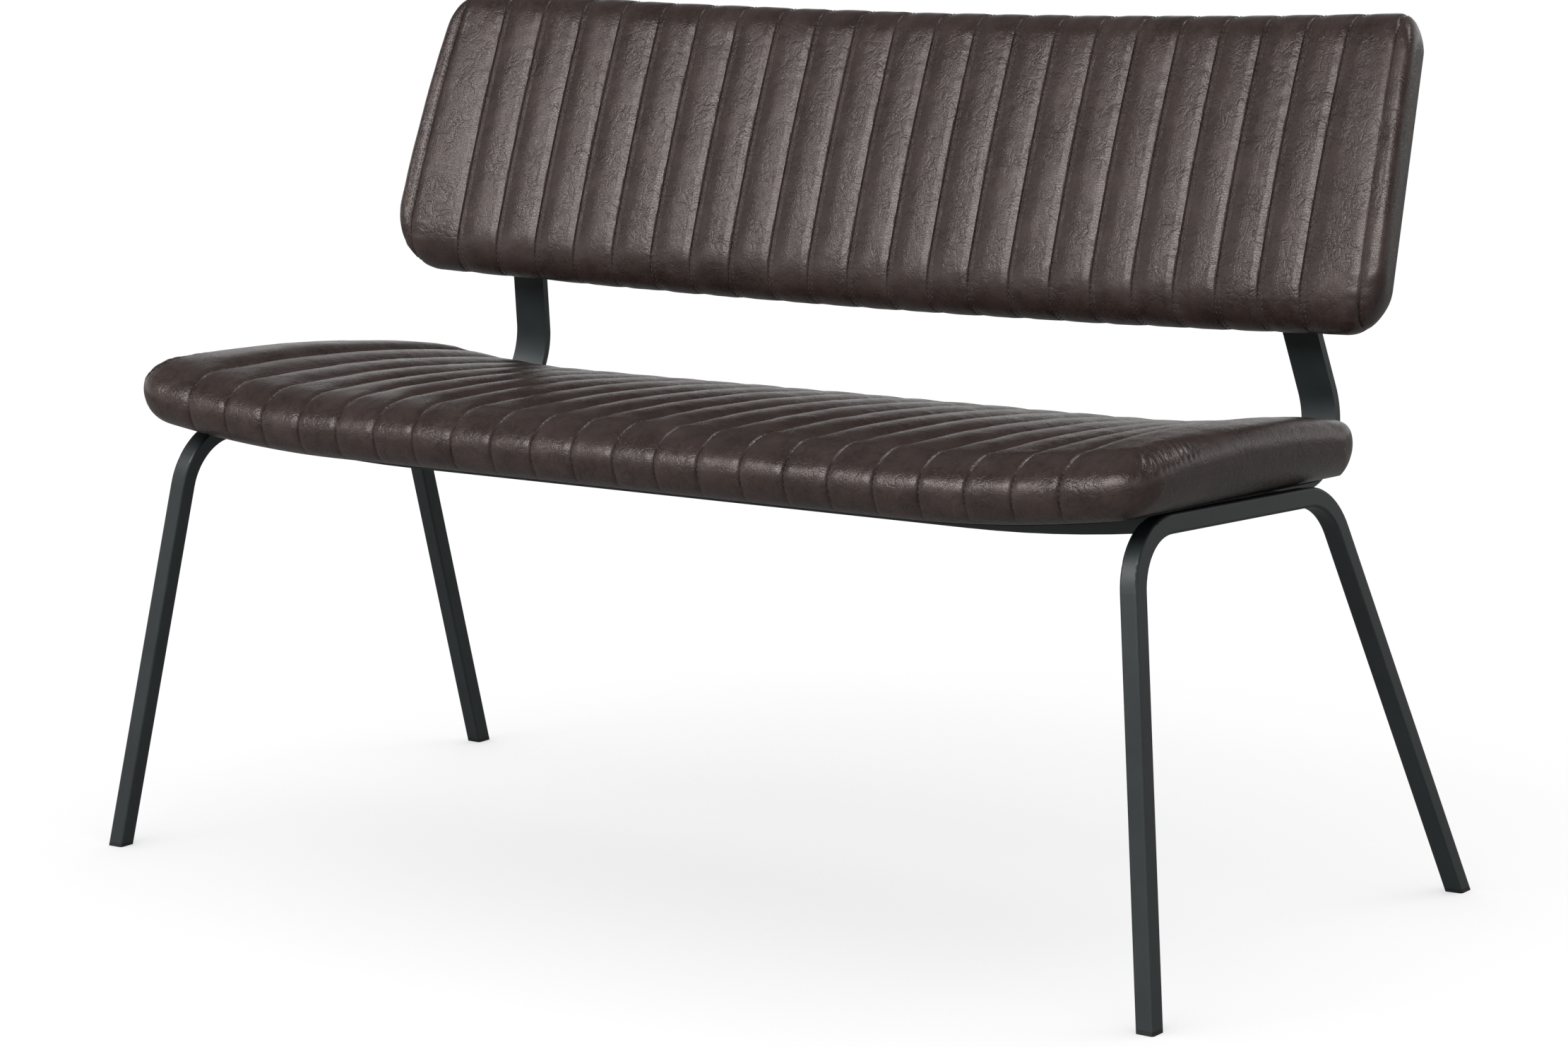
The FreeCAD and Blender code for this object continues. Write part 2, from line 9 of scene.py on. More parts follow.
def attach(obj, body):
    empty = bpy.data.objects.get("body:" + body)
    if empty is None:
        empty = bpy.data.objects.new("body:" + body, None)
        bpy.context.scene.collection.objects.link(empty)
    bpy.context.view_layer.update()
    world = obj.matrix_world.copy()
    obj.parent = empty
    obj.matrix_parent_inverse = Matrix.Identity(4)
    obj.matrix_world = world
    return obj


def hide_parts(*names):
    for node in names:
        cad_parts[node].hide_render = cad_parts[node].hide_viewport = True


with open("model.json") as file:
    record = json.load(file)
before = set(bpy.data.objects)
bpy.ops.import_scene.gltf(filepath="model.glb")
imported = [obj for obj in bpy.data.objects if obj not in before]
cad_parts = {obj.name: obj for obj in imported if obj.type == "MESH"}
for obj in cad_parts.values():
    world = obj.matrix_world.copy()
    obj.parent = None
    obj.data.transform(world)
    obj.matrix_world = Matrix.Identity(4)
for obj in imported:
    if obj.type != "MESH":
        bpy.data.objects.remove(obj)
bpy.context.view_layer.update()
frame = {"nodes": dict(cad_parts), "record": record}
scene = bpy.context.scene

# Sizes of the pads are in millimetres and match the CAD source. X runs along the bench, Y back from
# the front edge of the seat, Z up. ORIGIN_Y carries that edge into the CAD frame.
ORIGIN_Y = -283.378
PITCH = 48.0
SEAM_COUNT = 22
SEAMS = (np.arange(SEAM_COUNT) - (SEAM_COUNT - 1) / 2) * PITCH

SEAT_LENGTH = 1160.0
SEAT_DEPTH = 460.0
SEAT_THICKNESS = 62.0
SEAT_UNDERSIDE_HEIGHT = 413.0
SEAT_RAKE = 2.85
SEAT_STRAIGHT_LENGTH = 660.0
SEAT_BEND_RADIUS = 1400.0
SEAT_FRONT_CORNER_RADIUS = 40.0
SEAT_REAR_CORNER_RADIUS = 74.0
SEAT_END_ROLL = 32.0
SEAT_HEM_ROLL = 26.0

BACK_LENGTH = 1176.0
BACK_HEIGHT = 307.0
BACK_THICKNESS = 50.0
BACK_RECLINE = 21.0
BACK_BEND_RADIUS = 4130.0
BACK_FRONT_OFFSET = 434.0
BACK_LOWER_EDGE_HEIGHT = 537.5
BACK_LOWER_CORNER_RADIUS = 46.0
BACK_UPPER_CORNER_RADIUS = 35.0
BACK_END_ROLL = 14.0
BACK_HEM_ROLL = 6.0
BACK_END_PANEL_WIDTH = 25.0

LAYER_GAP = 0.3
DUST_COVER_THICKNESS = 1.0
DUST_COVER_SETBACK = 26.0
REAR_PANEL_THICKNESS = 1.8
REAR_PANEL_SETBACK = 10.0

# How far the stretches of a pad's section stand out from straight, as shares of their length.
FULL_BULGE = 0.10
NOSE_BULGE = 0.085
ROLL_BULGE = 0.19


def smoothstep(low, high, value):
    """Rises softly from 0 at low to 1 at high."""
    t = np.clip((np.asarray(value, float) - low) / (high - low), 0, 1)
    return t * t * (3 - 2 * t)


def rounded(gap, radius):
    """How far a round of this radius has drawn in at this distance from its end."""
    inner = np.clip(radius - gap, 0, radius)
    return radius - np.sqrt(radius ** 2 - inner ** 2)


def turned(y, z, angle, origin):
    """Local coordinates leaned back by an angle and carried to an origin."""
    c, s = math.cos(math.radians(angle)), math.sin(math.radians(angle))
    return y * c + z * s + origin[0] + ORIGIN_Y, z * c - y * s + origin[1]


def seat_place(station, shift, along, across):
    """Point of the seat: along it from the front edge, across it up from the underside."""
    beyond = np.maximum(0, np.abs(station) - SEAT_STRAIGHT_LENGTH / 2)
    rise = SEAT_BEND_RADIUS - np.sqrt(SEAT_BEND_RADIUS ** 2 - beyond ** 2)
    y, z = turned(along, across + rise, SEAT_RAKE, (0, SEAT_UNDERSIDE_HEIGHT))
    return np.stack([station + shift, y, z], -1)


def back_place(station, shift, along, across):
    """Point of the backrest: along it up from the lower edge, across it forward from the rear."""
    angle = station / BACK_BEND_RADIUS
    radius = BACK_BEND_RADIUS + BACK_THICKNESS - across
    x = radius * np.sin(angle) + shift * np.cos(angle)
    depth = radius * np.cos(angle) - shift * np.sin(angle) - BACK_BEND_RADIUS
    y, z = turned(depth, along, BACK_RECLINE, (BACK_FRONT_OFFSET, BACK_LOWER_EDGE_HEIGHT))
    return np.stack([x, y, z], -1)


class Pad:
    """Outside of an upholstered pad as a grid of points, from hem to hem and from end to end.

    The radii are those of the near and far corners, and of the rolls of show face and hem at the ends.
    """

    def __init__(self, half, depth, thickness, corners, radii, taper, slant, place):
        self.half, self.depth, self.thickness = half, depth, thickness
        self.corners, self.radii = corners, radii
        self.taper, self.slant, self.place = taper, slant, place

    def section(self, stations, rows):
        """Along and across of the cross-section, where row k + u is a share u past corner k."""
        gap = self.half - np.abs(stations)
        near, far, show, hem = [rounded(gap, r) for r in self.radii]
        scale = (self.thickness - show - hem) / self.thickness
        points = []
        for from_far, along, across, _ in self.corners:
            run = self.depth - far - along * scale if from_far else near + along * scale
            points.append(np.stack([run, hem + across * scale], -1))
        points = np.array(points)
        k = np.minimum(rows.astype(int), len(points) - 2)
        u = (rows - k)[:, None, None]
        a, b = points[k], points[k + 1]
        d = b - a
        bulge = np.array([c[3] for c in self.corners])[k][:, None, None]
        side = np.stack([-d[..., 1], d[..., 0]], -1)
        return np.swapaxes(a + u * d + 4 * u * (1 - u) * bulge * side, 0, 1)

    def lay_rows(self, spacing, close=(0, 0, 1)):
        """Rows of the grid with about the spacing asked for in each stretch between corners.

        Between the first two marks of close they lie closer, at its third.
        """
        stretches = len(self.corners) - 1
        fine = np.linspace(0, stretches, 500 * stretches + 1)
        line = self.section(np.zeros(1), fine)[0]
        run = run_along(line)
        ends = np.interp(np.arange(stretches + 1), fine, run)
        marks = [0.0]
        for k, step in enumerate(spacing):
            count = max(2, round((ends[k + 1] - ends[k]) / step))
            marks += list(np.linspace(ends[k], ends[k + 1], count + 1)[1:])
        marks = [m for m in marks if not close[0] < m < close[1]] + list(np.arange(*close))
        marks = np.unique(np.round(marks, 4))
        return np.interp(marks, run, fine), marks

    def drawn(self, s, along, across):
        """Sideways shift of points beyond the last seams, where the ends taper and slant."""
        share = np.maximum(0, np.abs(s) - SEAMS[-1]) / (self.half - SEAMS[-1])
        draw = self.taper * (along / self.depth - 0.5) + self.slant * (1 - across / self.thickness)
        return -np.sign(s) * share * draw

    def lay(self, stations, rows, softening):
        """Points of the smooth pad, its kinks softened, without seams."""
        flat = self.section(stations, rows)
        for _ in range(softening):
            flat[:, 1:-1] = flat[:, 1:-1] / 2 + (flat[:, :-2] + flat[:, 2:]) / 4
        along, across = flat[..., 0], flat[..., 1]
        s = stations[:, None] + 0 * along
        return self.place(s, self.drawn(s, along, across), along, across), along

    def slab(self, setback, level, stations, count):
        """Grid that follows the bend at a level, its outline set back from the edge of the pad."""
        gap = self.half - setback - np.abs(stations)
        near, far = [rounded(gap, r) for r in self.radii[:2]]
        share = np.linspace(0, 1, count)[None, :]
        start, end = (setback + near)[:, None], (self.depth - setback - far)[:, None]
        along = start + (end - start) * share
        s = stations[:, None] + 0 * along
        return s, along, self.place(s, self.drawn(s, along, 0), along, level + 0 * along)

    def from_edge(self, s, along, setback):
        """Distance from the outline of a slab that is set back from the edge of the pad."""
        sides = np.minimum(along - setback, self.depth - setback - along)
        return np.minimum(sides, self.half - setback - np.abs(s))


def section_corners(depth, thickness, far_thickness, full, nose, brow, roll, far_full, hem, crown):
    """Corners of a cross-section from the near hem over the show face to the far hem.

    Each says whether it counts from the far edge, how far along and across it lies, and how much
    the stretch that follows it bulges. A nose is (along, across), a hem is (setback, bulge).
    """
    hem_setback, hem_bulge = hem
    return [(False, hem_setback, 0, hem_bulge), (False, 0, full, FULL_BULGE),
            (False, *nose, NOSE_BULGE),
            (False, brow, thickness, crown / (depth - brow - roll)),
            (True, roll, far_thickness, ROLL_BULGE), (True, 0, far_full, hem_bulge),
            (True, hem_setback, 0, 0)]


def run_along(line):
    """Distance of each point of a line from its start, measured along it."""
    return np.concatenate([[0], np.cumsum(np.linalg.norm(np.diff(line, axis=0), axis=1))])


seat = Pad(half=SEAT_LENGTH / 2, depth=SEAT_DEPTH, thickness=SEAT_THICKNESS,
           corners=section_corners(depth=SEAT_DEPTH, thickness=SEAT_THICKNESS, far_thickness=54,
                                   full=26, nose=(8, 45), brow=47, roll=35, far_full=24,
                                   hem=(20, 0.16), crown=8.5),
           radii=(SEAT_FRONT_CORNER_RADIUS, SEAT_REAR_CORNER_RADIUS, SEAT_END_ROLL, SEAT_HEM_ROLL),
           taper=26, slant=8, place=seat_place)
back = Pad(half=BACK_LENGTH / 2, depth=BACK_HEIGHT, thickness=BACK_THICKNESS,
           corners=section_corners(depth=BACK_HEIGHT, thickness=BACK_THICKNESS,
                                   far_thickness=BACK_THICKNESS, full=16, nose=(9, 37), brow=45,
                                   roll=32, far_full=20, hem=(9, 0.10), crown=3),
           radii=(BACK_LOWER_CORNER_RADIUS, BACK_UPPER_CORNER_RADIUS, BACK_END_ROLL, BACK_HEM_ROLL),
           taper=20, slant=23, place=back_place)


def normals(points):
    """Outward unit normals of a grid of points."""
    n = np.cross(np.gradient(points, axis=0), np.gradient(points, axis=1))
    return n / np.maximum(np.linalg.norm(n, axis=-1, keepdims=True), 1e-9)


def hermite(knots, values, at):
    """Smooth interpolation along the first axis."""
    slopes = np.gradient(values, knots, axis=0)
    k = np.clip(np.searchsorted(knots, at, side="right") - 1, 0, len(knots) - 2)
    h = (knots[k + 1] - knots[k]).reshape((-1,) + (1,) * (values.ndim - 1))
    u = ((at - knots[k]) / (knots[k + 1] - knots[k])).reshape(h.shape)
    return ((1 + 2 * u) * (1 - u) ** 2 * values[k] + u * (1 - u) ** 2 * h * slopes[k]
            + u * u * (3 - 2 * u) * values[k + 1] + u * u * (u - 1) * h * slopes[k + 1])


def closing_marks(end, run, count):
    """Marks over the last run before an end, closer together towards it."""
    return [end - run + run * math.sin(math.radians(90 * k / count)) for k in range(count + 1)]


def lay_stations(offsets, end_marks):
    """Stations from end to end: the same offsets about every seam, then the plain ends."""
    marks = {0.0}
    for seam in SEAMS:
        marks.update(round(seam + sign * o, 3) for o in offsets for sign in (1, -1))
    marks = {m for m in marks if abs(m) <= SEAMS[-1] + offsets[-1]}
    marks.update(sign * round(m, 3) for m in end_marks for sign in (1, -1))
    return np.array(sorted(marks))


def grid_faces(count, rows):
    """Quads of a grid whose points are numbered row by row."""
    i, j = np.meshgrid(np.arange(count - 1), np.arange(rows - 1), indexing="ij")
    a = (i * rows + j).ravel()
    return np.stack([a, a + rows, a + rows + 1, a + 1], -1)


def link_mesh(name, points, faces, material, sharp=None):
    """A smooth mesh object from points in millimetres."""
    mesh = bpy.data.meshes.new(name)
    mesh.from_pydata((np.asarray(points) / 1000).tolist(), [], [list(f) for f in faces])
    mesh.update()
    mesh.polygons.foreach_set("use_smooth", [True] * len(mesh.polygons))
    if sharp:
        mesh.set_sharp_from_angle(angle=math.radians(sharp))
    mesh.materials.append(material)
    obj = bpy.data.objects.new(name, mesh)
    scene.collection.objects.link(obj)
    return obj


def inflate(points, held, pressure, cap, steps=20):
    """How far each point of a cover moves when its filling presses on it from inside.

    A cloth simulation of the grid: held points are stitched down or tacked, the rest swells.
    """
    count, rows = points.shape[:2]
    mesh = bpy.data.meshes.new("inflating")
    mesh.from_pydata((points.reshape(-1, 3) / 1000).tolist(), [], grid_faces(count, rows).tolist())
    obj = bpy.data.objects.new("inflating", mesh)
    scene.collection.objects.link(obj)
    group = obj.vertex_groups.new(name="held")
    group.add(np.flatnonzero(held.ravel()).tolist(), 1.0, "REPLACE")
    cloth = obj.modifiers.new("Cloth", "CLOTH")
    cloth.settings.quality = 6
    cloth.settings.mass = 0.3
    cloth.settings.tension_stiffness = 15
    cloth.settings.compression_stiffness = 15
    cloth.settings.shear_stiffness = 8
    cloth.settings.bending_stiffness = 0.5
    cloth.settings.use_pressure = True
    cloth.settings.uniform_pressure_force = pressure
    cloth.settings.vertex_group_mass = "held"
    cloth.settings.effector_weights.gravity = 0
    cloth.collision_settings.use_collision = False
    cloth.point_cache.frame_start, cloth.point_cache.frame_end = 1, steps
    for step in range(1, steps + 1):
        scene.frame_set(step)
    settled = obj.evaluated_get(bpy.context.evaluated_depsgraph_get()).to_mesh()
    moved = np.zeros(count * rows * 3, np.float32)
    settled.vertices.foreach_get("co", moved)
    bpy.data.objects.remove(obj)
    bpy.data.meshes.remove(mesh)
    scene.frame_set(1)
    move = moved.reshape(points.shape) * 1000 - points
    size = np.linalg.norm(move, axis=-1, keepdims=True)
    return move * cap * np.tanh(size / cap) / np.maximum(size, 1e-9)


def swollen(points, stations, run, sewn, pressure, cap, give=1.0):
    """The pad after its filling has pressed the cover out between the sewn columns and hems.

    The simulated grid has every second column, every sewn one and every third row.
    Give is the share of the swelling that is left where the filling lies firmer.
    """
    last = len(stations) - 1
    columns = sorted(set(range(0, last, 2)) | {last} | set(np.flatnonzero(sewn).tolist()))
    rows = sorted(set(range(0, len(run) - 1, 3)) | {len(run) - 1})
    coarse = points[np.ix_(columns, rows)]
    held = np.zeros(coarse.shape[:2], bool)
    held[:, [0, -1]] = True
    held[[0, -1]] = True
    held[sewn[columns]] = True
    move = inflate(coarse, held, pressure, cap)
    move = hermite(stations[columns], move, stations)
    move = np.swapaxes(hermite(run[rows], np.swapaxes(move, 0, 1), run), 0, 1)
    return points + move * give


def from_seam(stations):
    """Distance of each station from the nearest seam, below zero on the rib to its left."""
    nearest = np.abs(stations[:, None] - SEAMS).argmin(1)
    return stations - SEAMS[nearest]


def hem_fade(run, reach, flat=2):
    """0 along the flat strip at both hems, 1 from a reach inside them."""
    return smoothstep(flat, reach, run) * smoothstep(flat, reach, run[-1] - run)


def groove(offset, floor, depth, wall, edges):
    """Depth of a sewn groove: a floor, steep walls and the two sloping edges of its ribs.

    The depth is that at the left side of the floor and at the right.
    An edge is (drop, width, sharpness): first that of the rib to the left, then to the right.
    """
    drop, width, sharpness = [np.where(offset < 0, a, b) for a, b in zip(*edges)]
    beyond = np.abs(offset) - floor
    depth = np.interp(offset, (-floor, floor), depth)
    side = depth + (drop - depth) * smoothstep(0, wall, beyond)
    slope = drop * np.clip(1 - (beyond - wall) / width, 0, 1) ** sharpness
    return np.where(beyond < wall, side, slope)


def rough(points, scale, seed):
    """Smooth noise from -1 to 1, with features of about this size in millimetres."""
    flat = points.reshape(-1, 3) / scale + seed
    return np.array([noise.noise(p) for p in flat.tolist()]).reshape(points.shape[:-1])


def dents(points, *layers):
    """Heights of soft dents, as layers of noise that are given by (scale, seed, height)."""
    return sum(rough(points, scale, seed) * height for scale, seed, height in layers)


def puckers(points, away, cell, seed, height, peak, width=5):
    """Short creases that run out from the seams, highest at the peak's distance from them."""
    return rough(points / cell, 1, seed) * height * np.exp(-((away - peak) / width) ** 2)[:, None]


def closed(points, under_rows=6):
    """Points and faces of a closed pad: the show sheet, a flat underside and both ends."""
    count, rows = points.shape[:2]
    top = np.arange(count * rows).reshape(count, rows)
    share = np.linspace(0, 1, under_rows + 2)[1:-1][None, :, None]
    under = points[:, -1:] * (1 - share) + points[:, :1] * share
    low = (np.arange(count * under_rows) + count * rows).reshape(count, under_rows)
    belt = np.concatenate([top[:, -1:], low, top[:, :1]], 1)
    faces = grid_faces(count, rows).tolist()
    quads = np.stack([belt[:-1, :-1], belt[1:, :-1], belt[1:, 1:], belt[:-1, 1:]], -1)
    faces += quads.reshape(-1, 4).tolist()
    first = np.concatenate([top[0], low[0]])
    last = np.concatenate([top[-1], low[-1]])[::-1]
    faces += [first.tolist(), last.tolist()]
    return np.concatenate([points.reshape(-1, 3), under.reshape(-1, 3)]), faces


# Materials.


def new_material(name):
    """A material with its nodes, links, principled shader and object coordinates."""
    material = bpy.data.materials.new(name)
    material.use_nodes = True
    nodes, links = material.node_tree.nodes, material.node_tree.links
    where = nodes.new("ShaderNodeTexCoord").outputs["Object"]
    return material, nodes, links, nodes["Principled BSDF"], where


def add(nodes, kind, **values):
    """A node with its settings; a value whose name is an input's goes to that input."""
    node = nodes.new(kind)
    for key, value in values.items():
        label = key.replace("_", " ").title()
        if hasattr(node, key):
            setattr(node, key, value)
        else:
            node.inputs[label].default_value = value
    return node


def ramp(nodes, links, source, stops):
    """A value turned into a colour, through (position, colour) stops."""
    node = nodes.new("ShaderNodeValToRGB")
    elements = node.color_ramp.elements
    while len(elements) < len(stops):
        elements.new(0.5)
    for element, (position, colour) in zip(elements, stops):
        element.position = position
        element.color = (*colour, 1)
    links.new(source, node.inputs["Fac"])
    return node.outputs["Color"]


def span(nodes, links, source, low, high, start=0.0, end=1.0):
    """A value carried from one range to another."""
    node = add(nodes, "ShaderNodeMapRange", from_min=start, from_max=end, to_min=low, to_max=high)
    links.new(source, node.inputs["Value"])
    return node.outputs["Result"]


def raised(nodes, links, height, strength, distance, normal=None):
    """Normal of a surface raised by a height, on top of an earlier normal if there is one."""
    bump = add(nodes, "ShaderNodeBump", strength=strength, distance=distance)
    links.new(height, bump.inputs["Height"])
    if normal:
        links.new(normal, bump.inputs["Normal"])
    return bump.outputs["Normal"]


def leather_veins(nodes, links, cracks, patches):
    """0 along the crackle veins, 1 beside them and in the smooth patches."""
    middle = add(nodes, "ShaderNodeMath", operation="SUBTRACT")
    links.new(cracks.outputs["Fac"], middle.inputs[0])
    middle.inputs[1].default_value = 0.5
    beside = add(nodes, "ShaderNodeMath", operation="ABSOLUTE")
    links.new(middle.outputs["Value"], beside.inputs[0])
    vein = add(nodes, "ShaderNodeMath", operation="MAXIMUM")
    links.new(span(nodes, links, beside.outputs["Value"], 0.0, 1.0, 0.0, 0.07), vein.inputs[0])
    links.new(span(nodes, links, patches.outputs["Fac"], 0.0, 1.0, 0.46, 0.62), vein.inputs[1])
    return vein.outputs["Value"]


def leather_grain(nodes, links, where, warp):
    """Height of the fine grain: small cells with crooked edges."""
    bend = add(nodes, "ShaderNodeVectorMath", operation="MULTIPLY_ADD")
    links.new(warp.outputs["Color"], bend.inputs[0])
    bend.inputs[1].default_value = (0.004, 0.004, 0.004)
    links.new(where, bend.inputs[2])
    cells = add(nodes, "ShaderNodeTexVoronoi", feature="DISTANCE_TO_EDGE", scale=430.0)
    links.new(bend.outputs["Vector"], cells.inputs["Vector"])
    return span(nodes, links, cells.outputs["Distance"], 0.0, 1.0, 0.0, 0.12)


def leather():
    """Brown imitation leather: mottled colour, fine grain, crackle veins and a soft sheen."""
    material, nodes, links, shader, where = new_material("brown_leather")
    mottle = add(nodes, "ShaderNodeTexNoise", scale=26.0, detail=8.0, roughness=0.66)
    cracks = add(nodes, "ShaderNodeTexNoise", scale=78.0, detail=2.5, roughness=0.5,
                 distortion=0.7)
    patches = add(nodes, "ShaderNodeTexNoise", scale=24.0, detail=2.0)
    waves = add(nodes, "ShaderNodeTexNoise", scale=85.0, detail=5.0, roughness=0.55)
    warp = add(nodes, "ShaderNodeTexNoise", scale=150.0, detail=2.0)
    for node in (mottle, cracks, patches, waves, warp):
        links.new(where, node.inputs["Vector"])
    vein = leather_veins(nodes, links, cracks, patches)

    worn = add(nodes, "ShaderNodeMix", data_type="RGBA", blend_type="MULTIPLY")
    worn.inputs["Factor"].default_value = 0.8
    links.new(ramp(nodes, links, mottle.outputs["Fac"], [(0.30, (0.024, 0.0150, 0.0130)),
                                                         (0.52, (0.039, 0.0258, 0.0226)),
                                                         (0.74, (0.057, 0.0395, 0.0350))]),
              worn.inputs["A"])
    links.new(ramp(nodes, links, vein, [(0.0, (0.68, 0.66, 0.65)), (0.8, (1.0, 1.0, 1.0))]),
              worn.inputs["B"])
    links.new(worn.outputs["Result"], shader.inputs["Base Color"])
    links.new(span(nodes, links, mottle.outputs["Fac"], 0.23, 0.34, 0.3, 0.7),
              shader.inputs["Roughness"])
    shader.inputs["Specular IOR Level"].default_value = 0.5
    shader.inputs["Specular Tint"].default_value = (1.0, 0.9, 0.88, 1)

    normal = raised(nodes, links, leather_grain(nodes, links, where, warp), 0.25, 0.0003)
    normal = raised(nodes, links, waves.outputs["Fac"], 0.4, 0.0010, normal)
    normal = raised(nodes, links, vein, 0.4, 0.0004, normal)
    links.new(normal, shader.inputs["Normal"])
    return material


def coated(name, dark, light, roughness, peel, depth, metallic=0.0):
    """Painted, plated or moulded surface: slight mottling, orange peel and uneven gloss."""
    material, nodes, links, shader, where = new_material(name)
    cloud = add(nodes, "ShaderNodeTexNoise", scale=9.0, detail=6.0, roughness=0.6)
    skin = add(nodes, "ShaderNodeTexNoise", scale=peel, detail=2.0)
    for node in (cloud, skin):
        links.new(where, node.inputs["Vector"])
    links.new(ramp(nodes, links, cloud.outputs["Fac"], [(0.35, dark), (0.65, light)]),
              shader.inputs["Base Color"])
    links.new(span(nodes, links, cloud.outputs["Fac"], *roughness, 0.3, 0.7),
              shader.inputs["Roughness"])
    links.new(raised(nodes, links, skin.outputs["Fac"], 0.25, depth), shader.inputs["Normal"])
    shader.inputs["Metallic"].default_value = metallic
    return material


def plywood():
    """Birch plywood: long grain with darker streaks."""
    material, nodes, links, shader, where = new_material("plywood_grain")
    stretch = nodes.new("ShaderNodeMapping")
    stretch.inputs["Scale"].default_value = (1.0, 18.0, 18.0)
    links.new(where, stretch.inputs["Vector"])
    grain = add(nodes, "ShaderNodeTexNoise", scale=7.0, detail=9.0, roughness=0.6, distortion=0.6)
    links.new(stretch.outputs["Vector"], grain.inputs["Vector"])
    links.new(ramp(nodes, links, grain.outputs["Fac"], [(0.3, (0.30, 0.18, 0.085)),
                                                        (0.6, (0.46, 0.30, 0.155))]),
              shader.inputs["Base Color"])
    links.new(span(nodes, links, grain.outputs["Fac"], 0.5, 0.75), shader.inputs["Roughness"])
    links.new(raised(nodes, links, grain.outputs["Fac"], 0.2, 0.0004), shader.inputs["Normal"])
    return material


def felt():
    """Black non-woven cloth: matted fibres with tiny bonded points."""
    material, nodes, links, shader, where = new_material("dust_cloth_felt")
    fibres = add(nodes, "ShaderNodeTexNoise", scale=650.0, detail=6.0, roughness=0.7,
                 distortion=2.0)
    points = add(nodes, "ShaderNodeTexVoronoi", scale=500.0)
    for node in (fibres, points):
        links.new(where, node.inputs["Vector"])
    links.new(ramp(nodes, links, fibres.outputs["Fac"], [(0.35, (0.006, 0.006, 0.007)),
                                                         (0.7, (0.017, 0.018, 0.020))]),
              shader.inputs["Base Color"])
    links.new(span(nodes, links, fibres.outputs["Fac"], 0.8, 0.95), shader.inputs["Roughness"])
    links.new(raised(nodes, links, points.outputs["Distance"], 0.4, 0.0004),
              shader.inputs["Normal"])
    return material


leather_material = leather()
felt_material = felt()
plywood_material = plywood()
steel_material = coated("dark_painted_steel", dark=(0.0150, 0.0202, 0.0211),
                        light=(0.0224, 0.0293, 0.0302), roughness=(0.34, 0.46), peel=1400.0,
                        depth=0.00012)
cap_material = coated("black_cap_plastic", dark=(0.007, 0.008, 0.0085),
                      light=(0.012, 0.013, 0.014), roughness=(0.5, 0.66), peel=1800.0,
                      depth=0.0002)
bolt_material = coated("black_bolt_steel", dark=(0.016, 0.018, 0.019),
                       light=(0.03, 0.033, 0.035), roughness=(0.28, 0.42), peel=2600.0,
                       depth=0.00008, metallic=0.6)
nut_material = coated("zinc_plated_steel", dark=(0.42, 0.42, 0.40), light=(0.58, 0.58, 0.56),
                      roughness=(0.28, 0.45), peel=2200.0, depth=0.00008, metallic=1.0)
thread_material = coated("brown_thread", dark=(0.024, 0.017, 0.0145),
                         light=(0.048, 0.036, 0.031), roughness=(0.42, 0.6), peel=3500.0,
                         depth=0.0003)
foam_material = coated("cream_foam", dark=(0.60, 0.55, 0.38), light=(0.74, 0.69, 0.51),
                       roughness=(0.85, 0.95), peel=900.0, depth=0.0008)

by_slot = {"frame_steel": steel_material, "cap_plastic": cap_material,
           "plywood": plywood_material, "bolt_steel": bolt_material, "nut_steel": nut_material,
           "foam": foam_material, "cover_leather": leather_material, "dust_cloth": felt_material}
for part in frame["record"]["subparts"]:
    frame["nodes"][part["node"]].data.materials.clear()
    frame["nodes"][part["node"]].data.materials.append(by_slot[part["material_slot"]])


def declare(piece, slot, *nodes):
    """Makes a piece ride on the bench and stand for its CAD nodes."""
    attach(piece, "root")
    if nodes:
        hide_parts(*nodes)


def stitches(name, lines, pitch, size, material):
    """One mesh of small sunk stitches laid along lines of (points, normals)."""
    length, width, height = size
    all_points, all_faces = [], []
    shape = [(-0.5, 0, -0.6), (-0.28, 1, 0), (-0.28, 0, 1), (-0.28, -1, 0), (0.28, 1, 0),
             (0.28, 0, 1), (0.28, -1, 0), (0.5, 0, -0.6)]
    skin = [(0, 1, 2), (0, 2, 3), (1, 4, 5, 2), (2, 5, 6, 3), (4, 7, 5), (5, 7, 6)]
    for line, up in lines:
        run = run_along(line)
        for at in np.arange(pitch, run[-1] - pitch / 2, pitch):
            spots = [np.array([np.interp(at + o * length, run, line[:, c]) for c in range(3)])
                     for o in (-0.5, 0.5)]
            n = np.array([np.interp(at, run, up[:, c]) for c in range(3)])
            t = spots[1] - spots[0]
            side = np.cross(n, t / np.linalg.norm(t))
            middle = (spots[0] + spots[1]) / 2
            base = len(all_points)
            all_points += [middle + t * a + side * (b * width / 2) + n * (c * height)
                           for a, b, c in shape]
            all_faces += [[base + k for k in face] for face in skin]
    return link_mesh(name, all_points, all_faces, material)


# Edges of a mesh that turn by more than this, in degrees, stay sharp.
PAD_SHARP = 48
SHEET_SHARP = 40

# Seat pad.
SEAT_END_RUN = 38.0
SEAT_SINK = 0.9
SEAT_FRONT_ROLL = (75, 135)
SEAT_FIRM_END = (515, 560)
seat_offsets = [0, 0.8, 1.8, 3, 4.6, 6.5, 9, 12, 15.5, 19.5, 24]
past_last_rib = [SEAMS[-1] + 26.5 + 1.9 * k for k in range(7)]
seat_ends = past_last_rib + closing_marks(seat.half, SEAT_END_RUN, 26)[1:]
seat_stations = lay_stations(seat_offsets, seat_ends)
seat_rows, seat_run = seat.lay_rows([2.6, 1.8, 1.8, 4.7, 2.6, 3.0], close=(66, 165, 1.7))
seat_points, seat_along = seat.lay(seat_stations, seat_rows, softening=12)
seat_out = normals(seat_points)
seat_offset = from_seam(seat_stations)
seat_away = np.abs(seat_offset)
seat_fade = hem_fade(seat_run, 26)
